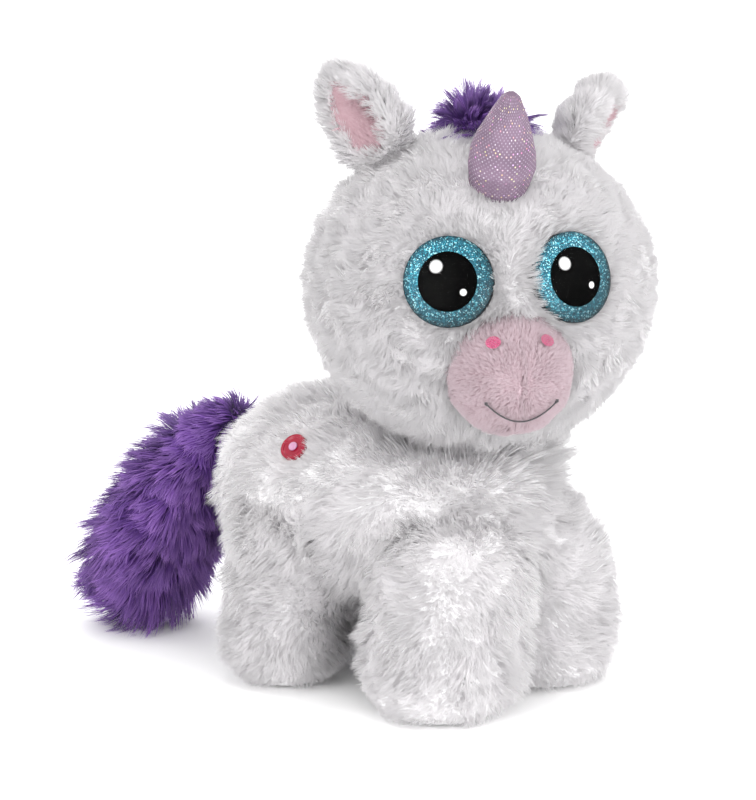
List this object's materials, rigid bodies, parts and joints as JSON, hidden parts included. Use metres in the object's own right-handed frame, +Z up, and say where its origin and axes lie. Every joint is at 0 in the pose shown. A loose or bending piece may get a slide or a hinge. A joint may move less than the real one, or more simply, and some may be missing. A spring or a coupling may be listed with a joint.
{
  "type": "plush unicorn",
  "caption": "Standing stuffed toy unicorn with a big round head turned to its right, domed glitter eyes, a foil horn, and a long pile mane and tail.",
  "frame": {"origin": "middle of the part's box, on the surface the toy stands on", "axes": "+Z up; -Y is forwards along the torso; +X is the toy's left"},
  "size_m": [0.1282, 0.2392, 0.2361],
  "materials": {
    "white_pile": "matte",
    "stuffing": "matte",
    "sole": "matte",
    "pink_pile": "matte",
    "ear_lining": "matte",
    "purple_pile": "matte",
    "foil_fabric": "satin",
    "magenta_thread": "satin",
    "black_thread": "satin",
    "eye_glitter": "gloss",
    "eye_pupil": "gloss",
    "eye_lens": "gloss",
    "eye_back": "satin",
    "lock_washer": "satin",
    "button_red": "gloss",
    "button_centre": "gloss"
  },
  "bodies": {
    "torso": {"torso_skin": "white_pile", "torso_stuffing": "stuffing", "button_disc": "button_red", "button_centre": "button_centre", "button_shank": "button_red", "front_right_leg_skin": "white_pile", "front_right_leg_stuffing": "stuffing", "front_right_sole": "sole", "front_left_leg_skin": "white_pile", "front_left_leg_stuffing": "stuffing", "front_left_sole": "sole", "hind_right_leg_skin": "white_pile", "hind_right_leg_stuffing": "stuffing", "hind_right_sole": "sole", "hind_left_leg_skin": "white_pile", "hind_left_leg_stuffing": "stuffing", "hind_left_sole": "sole"},
    "neck": {"neck_stuffing": "stuffing"},
    "head": {"right_eye_plate": "eye_back", "right_eye_iris": "eye_glitter", "right_eye_pupil": "eye_pupil", "right_eye_lens": "eye_lens", "right_eye_washer": "lock_washer", "left_eye_plate": "eye_back", "left_eye_iris": "eye_glitter", "left_eye_pupil": "eye_pupil", "left_eye_lens": "eye_lens", "left_eye_washer": "lock_washer", "head_skin": "white_pile", "head_stuffing": "stuffing", "muzzle_skin": "pink_pile", "muzzle_stuffing": "stuffing", "right_nostril_stitch": "magenta_thread", "left_nostril_stitch": "magenta_thread", "mouth_stitch": "black_thread", "horn_skin": "foil_fabric", "horn_stuffing": "stuffing", "mane_strip": "purple_pile"},
    "right_ear": {"right_ear_outer": "white_pile", "right_ear_lining": "ear_lining"},
    "left_ear": {"left_ear_outer": "white_pile", "left_ear_lining": "ear_lining"},
    "tail": {"tail_skin": "purple_pile", "tail_stuffing": "stuffing"}
  },
  "joints": [
    {"name": "neck_turn", "type": "hinge", "parent": "torso", "child": "neck", "pos_m": [-0.00159, -0.0553, 0.102], "axis": [0, 0, 1], "range_deg": [-15, 41], "stiffness_Nm_per_rad": 0.5},
    {"name": "neck_nod", "type": "hinge", "parent": "neck", "child": "head", "pos_m": [-0.00159, -0.0553, 0.102], "axis": [0.7547, -0.6561, 0], "range_deg": [-8, 8], "stiffness_Nm_per_rad": 1.2},
    {"name": "right_ear_flop", "type": "hinge", "parent": "head", "child": "right_ear", "pos_m": [-0.02659, -0.03224, 0.205], "axis": [0.1027, -0.7968, 0.5954], "range_deg": [-20, 20], "stiffness_Nm_per_rad": 0.05},
    {"name": "left_ear_flop", "type": "hinge", "parent": "head", "child": "left_ear", "pos_m": [0.02952, -0.07439, 0.207], "axis": [0.2599, 0.518, -0.8149], "range_deg": [-20, 20], "stiffness_Nm_per_rad": 0.05},
    {"name": "tail_lift", "type": "hinge", "parent": "torso", "child": "tail", "pos_m": [-0.00159, 0.0557, 0.094], "axis": [1, 0, 0], "range_deg": [-5, 60], "stiffness_Nm_per_rad": 0.4}
  ]
}
